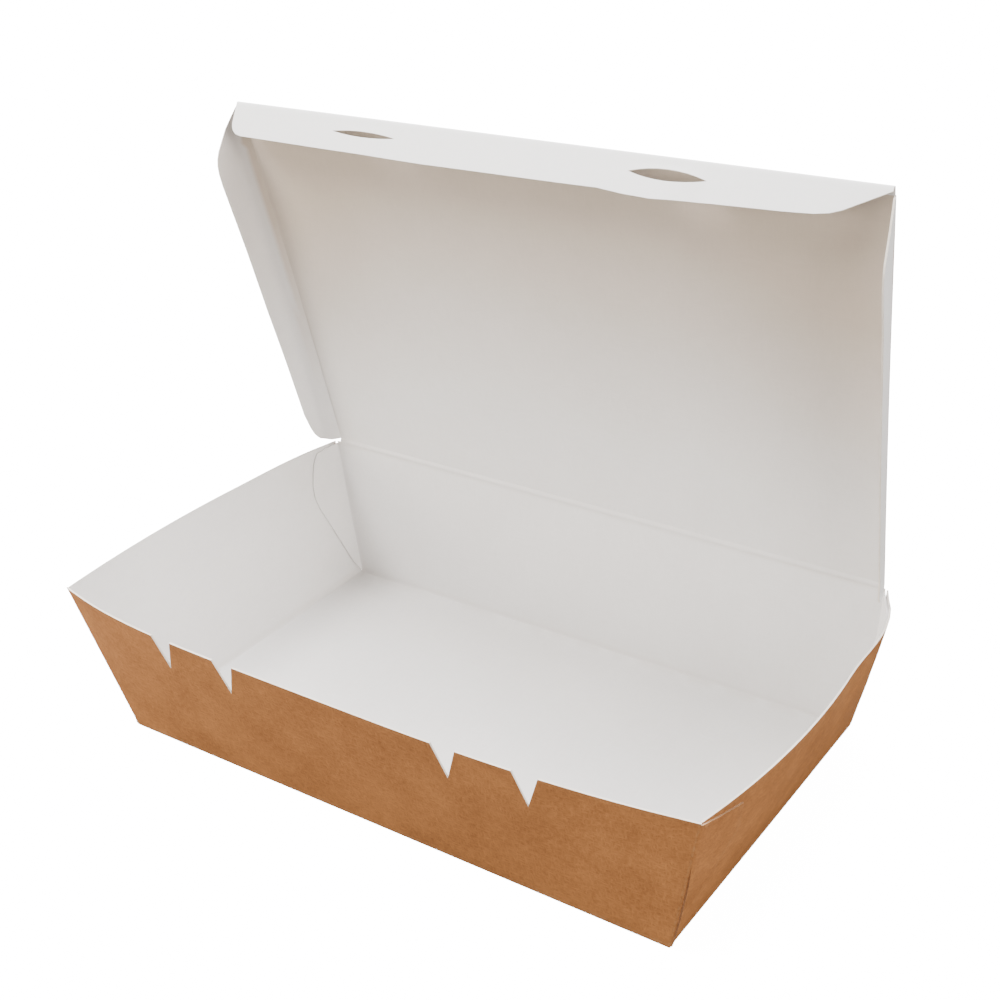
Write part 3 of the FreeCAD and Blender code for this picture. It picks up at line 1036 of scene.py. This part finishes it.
# %% Build the rub and crease shade group
def build_rub_and_shade():
    tree, entry, leave = new_group(
        "crease_rub_and_shade", {"Strength": 0.5, "Raggedness": 1.0}, ["Mask"])
    place = add_node(tree, "ShaderNodeTexCoord")
    mark = add_node(tree, "ShaderNodeAttribute", attribute_name="rub_and_shade")
    grit = add_node(tree, "ShaderNodeTexNoise")
    grit.inputs["Scale"].default_value = 900.0
    grit.inputs["Detail"].default_value = 5.0
    join(tree, place, "Object", grit, "Vector")
    broken = add_node(tree, "ShaderNodeMapRange", interpolation_type="SMOOTHSTEP")
    broken.inputs["From Min"].default_value = 0.38
    broken.inputs["From Max"].default_value = 0.68
    join(tree, grit, 0, broken, "Value")
    ragged = add_node(tree, "ShaderNodeMix", data_type="FLOAT")
    ragged.inputs[2].default_value = 0.5
    join(tree, entry, "Raggedness", ragged, 0)
    tree.links.new(broken.outputs[0], ragged.inputs[3])
    masked = add_node(tree, "ShaderNodeMath", operation="MULTIPLY")
    tree.links.new(mark.outputs["Fac"], masked.inputs[0])
    tree.links.new(ragged.outputs[0], masked.inputs[1])
    scaled = add_node(tree, "ShaderNodeMath", operation="MULTIPLY")
    tree.links.new(masked.outputs[0], scaled.inputs[0])
    join(tree, entry, "Strength", scaled, 1)
    join(tree, scaled, 0, leave, "Mask")
    return tree


RUB_AND_SHADE = build_rub_and_shade()
print("group:", RUB_AND_SHADE.name)

# %% [markdown]
# ## The five papers
#
# Each is one Principled shader. Its colour runs between a dark and a light tone of the same
# paper, multiplied by a painted shade tone where the sheet carries painted shade, with the
# crease tone over both, which is rub on the kraft and painted shade on the lining. Only the
# lining has the painted shade tone, from white at the hinge to beige under the flap, which
# shades it. Paper is rough, and the white sides have a faint sheen. Subsurface scattering isn't
# needed at this size: the bounce between white walls already gives the soft glow inside the tray.

# %% Mix the papers
def mix_tones(tree, first, second, blend="MIX"):
    """A colour mix: input 0 is the share, 6 and 7 are the two colours."""
    made = add_node(tree, "ShaderNodeMix", data_type="RGBA", blend_type=blend)
    made.inputs[6].default_value = (*first, 1)
    made.inputs[7].default_value = (*second, 1)
    return made


def paper(name, dark, light, crease_tone, clouds, fibres, share, rub_and_shade, ragged, rough, bump,
          painted_shade_tone=(1, 1, 1)):
    """One paper: its dark, light and crease tones, its painted shade tone, the size of its clouds
    and fibres, and how its creases are marked.
    """
    material = bpy.data.materials.new(name)
    material.use_nodes = True
    tree = material.node_tree
    shader = tree.nodes["Principled BSDF"]
    shader.inputs["Roughness"].default_value = rough
    shader.inputs["Specular IOR Level"].default_value = 0.3
    pulp = add_node(tree, "ShaderNodeGroup", node_tree=PULP)
    pulp.inputs["Cloud Size"].default_value = clouds
    pulp.inputs["Fibre Size"].default_value = fibres
    pulp.inputs["Fibre Share"].default_value = share
    spread = add_node(tree, "ShaderNodeMapRange")
    spread.inputs["From Min"].default_value = 0.36
    spread.inputs["From Max"].default_value = 0.68
    join(tree, pulp, "Tone", spread, "Value")
    tone = mix_tones(tree, dark, light)
    tree.links.new(spread.outputs[0], tone.inputs[0])
    # The shade number pulls the colour towards the painted shade tone.
    shade_mark = add_node(tree, "ShaderNodeAttribute", attribute_name="shade")
    shade_mix = mix_tones(tree, dark, painted_shade_tone, "MULTIPLY")
    tree.links.new(shade_mark.outputs["Fac"], shade_mix.inputs[0])
    tree.links.new(tone.outputs[2], shade_mix.inputs[6])
    # The crease mark: rub on the kraft, painted shade on the lining.
    crease_mask = add_node(tree, "ShaderNodeGroup", node_tree=RUB_AND_SHADE)
    crease_mask.inputs["Strength"].default_value = rub_and_shade
    crease_mask.inputs["Raggedness"].default_value = ragged
    over = mix_tones(tree, dark, crease_tone)
    tree.links.new(crease_mask.outputs[0], over.inputs[0])
    tree.links.new(shade_mix.outputs[2], over.inputs[6])
    tree.links.new(over.outputs[2], shader.inputs["Base Color"])
    relief = add_node(tree, "ShaderNodeBump")
    relief.inputs["Strength"].default_value = bump
    relief.inputs["Distance"].default_value = 0.05 * MM
    join(tree, pulp, "Height", relief, "Height")
    join(tree, relief, "Normal", shader, "Normal")
    return material


KRAFT = paper(
    "kraft", dark=(0.245, 0.094, 0.026), light=(0.470, 0.196, 0.062), crease_tone=(0.50, 0.26, 0.12),
    clouds=60, fibres=2000, share=0.62, rub_and_shade=0.45, ragged=1.0, rough=0.82, bump=0.35)
# On the lining the crease tone is painted shade along the folds, and the darker warm tone is
# painted shade under the flap.
LINING = paper(
    "white_lining", dark=(0.680, 0.662, 0.645), light=(0.740, 0.725, 0.712),
    crease_tone=(0.55, 0.51, 0.47), painted_shade_tone=(0.72, 0.62, 0.52),
    clouds=18, fibres=900, share=0.4, rub_and_shade=0.55, ragged=0.0, rough=0.6, bump=0.06)
CUT = paper(
    "cut_edge", dark=(0.66, 0.60, 0.52), light=(0.82, 0.77, 0.70), crease_tone=(0.7, 0.6, 0.46),
    clouds=90, fibres=1400, share=0.5, rub_and_shade=0.0, ragged=0.0, rough=0.9, bump=0.2)
# The bare white is the unprinted outer face, painted brighter than the lining: painted light for
# the strong light on the flap.
BARE_LIT_WHITE = paper(
    "bare_white_painted_light", dark=(0.90, 0.90, 0.90), light=(0.95, 0.95, 0.95), crease_tone=(0.86, 0.78, 0.72),
    clouds=18, fibres=900, share=0.4, rub_and_shade=0.3, ragged=1.0, rough=0.6, bump=0.06)
# A dark tan on cut edges: painted shade in the corner slots of the outer tabs and in the gap at
# the hinge's left end.
SHADED_EDGE = paper(
    "painted_shade_edge", dark=(0.46, 0.26, 0.13), light=(0.62, 0.40, 0.24), crease_tone=(0.62, 0.40, 0.24),
    clouds=90, fibres=1400, share=0.5, rub_and_shade=0.0, ragged=0.0, rough=0.9, bump=0.2)
SIDES = [KRAFT, LINING, CUT, BARE_LIT_WHITE, SHADED_EDGE]
print("papers:", [m.name for m in SIDES])

# %% [markdown]
# ## Part the thick sheet into its pieces
#
# Nine pieces come out of the one sheet. Five are boards that ride on their bodies. The other
# four are the creases between them. A face whose points are all outer ones is the printed side,
# one with none is the lining, and one with both is a cut edge.

# %% Part the sheet
OUT_SIDE, IN_SIDE, CUT_SIDE, BARE_LIT_SIDE, SHADED_EDGE_SIDE = range(len(SIDES))
UNDER_RIM = HEIGHT - 0.3 * MM


def has_painted_shade_edge(spot):
    """Cut faces painted a dark tan: painted shade in the slot at the tabs' corners and in the gap
    at the hinge's left end, and a darker edge on the rest of the outer tabs.
    """
    on_tab = abs(spot.x) > 90 * MM and spot.y < -30 * MM and spot.z < UNDER_RIM
    at_hinge = spot.x < -99.6 * MM and spot.y > 54 * MM and 47 * MM < spot.z < 53.5 * MM
    return on_tab or at_hinge


def paper_of(face, white):
    """Which paper a face of the thick sheet shows."""
    outside = [v.index < OUTER for v in face.verts]
    if all(outside):
        return BARE_LIT_SIDE if face[white] else OUT_SIDE
    if not any(outside):
        return IN_SIDE
    spot = face.calc_center_median()
    if has_painted_shade_edge(spot):
        return SHADED_EDGE_SIDE
    on_inner_tab = 42 * MM < spot.y < 57 * MM and spot.z < UNDER_RIM
    return IN_SIDE if on_inner_tab else CUT_SIDE


def part_piece(name):
    """Cut one piece out of the thick sheet and close its borders."""
    tag = PIECES.index(name)
    part = bmesh.new()
    part.from_mesh(thick_mesh)
    part.verts.ensure_lookup_table()
    piece = part.faces.layers.int["piece"]
    white = part.faces.layers.int["white_face"]
    for face in part.faces:
        face.material_index = paper_of(face, white)
    ends = []
    for edge in part.edges:
        a, b = edge.verts
        tags = {face[piece] for face in edge.link_faces}
        if a.index < OUTER and b.index < OUTER and len(tags) > 1 and tag in tags:
            ends.append((a.index, b.index))
    for a, b in ends:
        corners = [part.verts[i] for i in (a, b, b + OUTER, a + OUTER)]
        end = part.faces.new(corners)
        end[piece] = tag
        end.material_index = CUT_SIDE
    others = [face for face in part.faces if face[piece] != tag]
    bmesh.ops.delete(part, geom=others, context="FACES")
    bmesh.ops.recalc_face_normals(part, faces=part.faces)
    for face in part.faces:
        face.smooth = True
    open_edges = sum(1 for e in part.edges if len(e.link_faces) != 2)
    mesh = bpy.data.meshes.new(name)
    part.to_mesh(mesh)
    part.free()
    mesh.set_sharp_from_angle(angle=math.radians(40))
    obj = bpy.data.objects.new(name, mesh)
    bpy.context.scene.collection.objects.link(obj)
    for material in SIDES:
        mesh.materials.append(material)
    print("%-20s %6d faces, %d end faces, %d open edges" % (
        name, len(mesh.polygons), len(ends), open_edges))
    return obj


parts = {name: part_piece(name) for name in PIECES}
bpy.data.meshes.remove(thick_mesh)

# %% [markdown]
# ## Set the pieces on their bodies
#
# A board rides on one body and stands for that body's solid, whose own part is hidden. The
# tray board gets a mesh of its own, and each crease keeps its place, with its transform written
# into its mesh.

# %% Bind the pieces
BOARDS = [
    ("tray_board", "tray", "tray", "kraft_board"),
    ("lid_board", "lid", "lid_panel", "kraft_board"),
    ("flap_board", "tuck_flap", "tuck_flap", "white_board"),
    ("left_wing_board", "left_wing", "left_wing", "kraft_board"),
    ("right_wing_board", "right_wing", "right_wing", "kraft_board"),
]
for name, body, node_name, finish in BOARDS:
    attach(parts[name], body)
    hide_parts(node_name)

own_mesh(parts["tray_board"])
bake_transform(parts["lid_crease"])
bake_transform(parts["flap_crease"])
for side, word in ((LEFT, "left"), (RIGHT, "right")):
    crease = parts[word + "_wing_crease"]
    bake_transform(crease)
print("pieces bound:", len(parts))

# %% [markdown]
# ## The studio
#
# The box stands on white paper that sweeps up behind it, so there's no horizon. The background
# of the photograph is pure white, with hardly a shadow. Paper that really shone so brightly
# would flood the box with light from below, so it glows for the camera alone and is dim for
# every other ray.

# %% Build the sweep
SWEEP_TURN = math.radians(35.67)
SWEEP_CURVE = 0.5
WHITE_GLOW = 15.0


def build_sweep():
    """A floor that curves up into a wall, square to the camera's side."""
    mesh = bpy.data.meshes.new("paper_sweep")
    flat = bmesh.new()
    profile = [(-1.6, 0.0), (0.9, 0.0)]
    for a in (0.4, 0.8, 1.2, 1.5708):
        profile.append((0.9 + SWEEP_CURVE * math.sin(a), SWEEP_CURVE - SWEEP_CURVE * math.cos(a)))
    profile.append((1.4, 2.4))
    turn = Matrix.Rotation(SWEEP_TURN, 3, "Z")
    lines = []
    for x in (-2.4, 2.4):
        lines.append([flat.verts.new(turn @ Vector((x, y, z))) for y, z in profile])
    for i in range(len(profile) - 1):
        flat.faces.new((lines[0][i], lines[1][i], lines[1][i + 1], lines[0][i + 1])).smooth = True
    flat.to_mesh(mesh)
    flat.free()
    obj = bpy.data.objects.new("paper_sweep", mesh)
    bpy.context.scene.collection.objects.link(obj)
    material = bpy.data.materials.new("sweep_paper")
    material.use_nodes = True
    shader = material.node_tree.nodes["Principled BSDF"]
    shader.inputs["Roughness"].default_value = 0.9
    shader.inputs["Emission Color"].default_value = (1, 1, 1, 1)
    tree = material.node_tree
    path = add_node(tree, "ShaderNodeLightPath")
    glow = add_node(tree, "ShaderNodeMath", operation="MULTIPLY")
    glow.inputs[1].default_value = WHITE_GLOW
    tree.links.new(path.outputs["Is Camera Ray"], glow.inputs[0])
    tree.links.new(glow.outputs[0], shader.inputs["Emission Strength"])
    tint = mix_tones(tree, (0.12, 0.115, 0.11), (0.9, 0.9, 0.9))
    tree.links.new(path.outputs["Is Camera Ray"], tint.inputs[0])
    tree.links.new(tint.outputs[2], shader.inputs["Base Color"])
    mesh.materials.append(material)
    return obj


build_sweep()
print("sweep: the floor curves up into a wall with a radius of %.1f m" % SWEEP_CURVE)

# %% [markdown]
# ## The lights
#
# Four soft squares light the box. The large one overhead gives the floor of the tray its even
# white, and the key at the front left models the lid. A low warm one in front warms the kraft
# of the front wall, and one on the right keeps the short side from going dark. Each was set
# by rendering it alone and weighing the four against the photograph.

# %% Hang the lights
def soft_light(name, place, target, size, power, colour=(1, 1, 1)):
    lamp = bpy.data.lights.new(name, "AREA")
    lamp.shape = "SQUARE"
    lamp.size = size
    lamp.energy = power
    lamp.color = colour
    obj = bpy.data.objects.new(name, lamp)
    aim = (Vector(place) - Vector(target)).to_track_quat("Z", "Y")
    obj.matrix_world = Matrix.Translation(place) @ aim.to_matrix().to_4x4()
    bpy.context.scene.collection.objects.link(obj)
    return obj


soft_light("overhead", (0.0, 0.25, 1.5), (0, 0, 0.07), 0.8, 58, (0.98, 0.98, 1.0))
soft_light("key", (-0.75, -0.6, 1.2), (0, 0, 0.07), 0.5, 33, (1.0, 0.98, 0.96))
soft_light("front_left", (-0.62, -0.62, 0.2), (0, 0, 0.03), 0.5, 9, (1.0, 0.93, 0.82))
soft_light("right_side", (1.2, -0.3, 0.5), (0, 0, 0.07), 0.7, 20, (1.0, 0.95, 0.9))

# %% [markdown]
# ## The room
#
# The room is nearly dark and faintly warm, so that the soft lights alone shape the box. Where
# the camera looks past the sweep, from behind or from the side, the room is as white as the
# paper.

# %% Paint the room
world = bpy.data.worlds.new("studio")
world.use_nodes = True
room = world.node_tree.nodes["Background"]
seen = add_node(world.node_tree, "ShaderNodeLightPath")
wall = mix_tones(world.node_tree, (0.04, 0.0344, 0.0296), (WHITE_GLOW,) * 3)
world.node_tree.links.new(seen.outputs["Is Camera Ray"], wall.inputs[0])
world.node_tree.links.new(wall.outputs[2], room.inputs["Color"])
room.inputs["Strength"].default_value = 1.0
bpy.context.scene.world = world
print("room: %.2f bright for the lights, %.0f for the camera" % (0.04, WHITE_GLOW))

# %% [markdown]
# ## The camera
#
# The photograph was taken from the box's front right, from well above the rim, with the camera
# rolled by a few degrees. The place, the three angles and the lens come from fitting the box's
# corners, and the matrix is written out from the angles.

# %% Set the camera
YAW, PITCH, ROLL = math.radians(-35.66631), math.radians(27.40648), math.radians(2.84469)
EYE = Vector((246.495, -331.019, 292.649)) * MM
LENS = 58.252

ahead = Vector((
    math.sin(YAW) * math.cos(PITCH), math.cos(YAW) * math.cos(PITCH), -math.sin(PITCH)))
across = Vector((math.cos(YAW), -math.sin(YAW), 0))
down = ahead.cross(across)
across_rolled = across * math.cos(ROLL) + down * math.sin(ROLL)
down_rolled = down * math.cos(ROLL) - across * math.sin(ROLL)
lens = bpy.data.cameras.new("camera")
lens.lens = LENS
lens.sensor_width = 36
lens.clip_start = 0.01
camera = bpy.data.objects.new("camera", lens)
axes = Matrix((across_rolled, -down_rolled, -ahead)).transposed()
camera.matrix_world = Matrix.Translation(EYE) @ axes.to_4x4()
bpy.context.scene.collection.objects.link(camera)
bpy.context.scene.camera = camera
print("camera at %s, lens %.1f mm" % ([round(v, 3) for v in EYE], LENS))
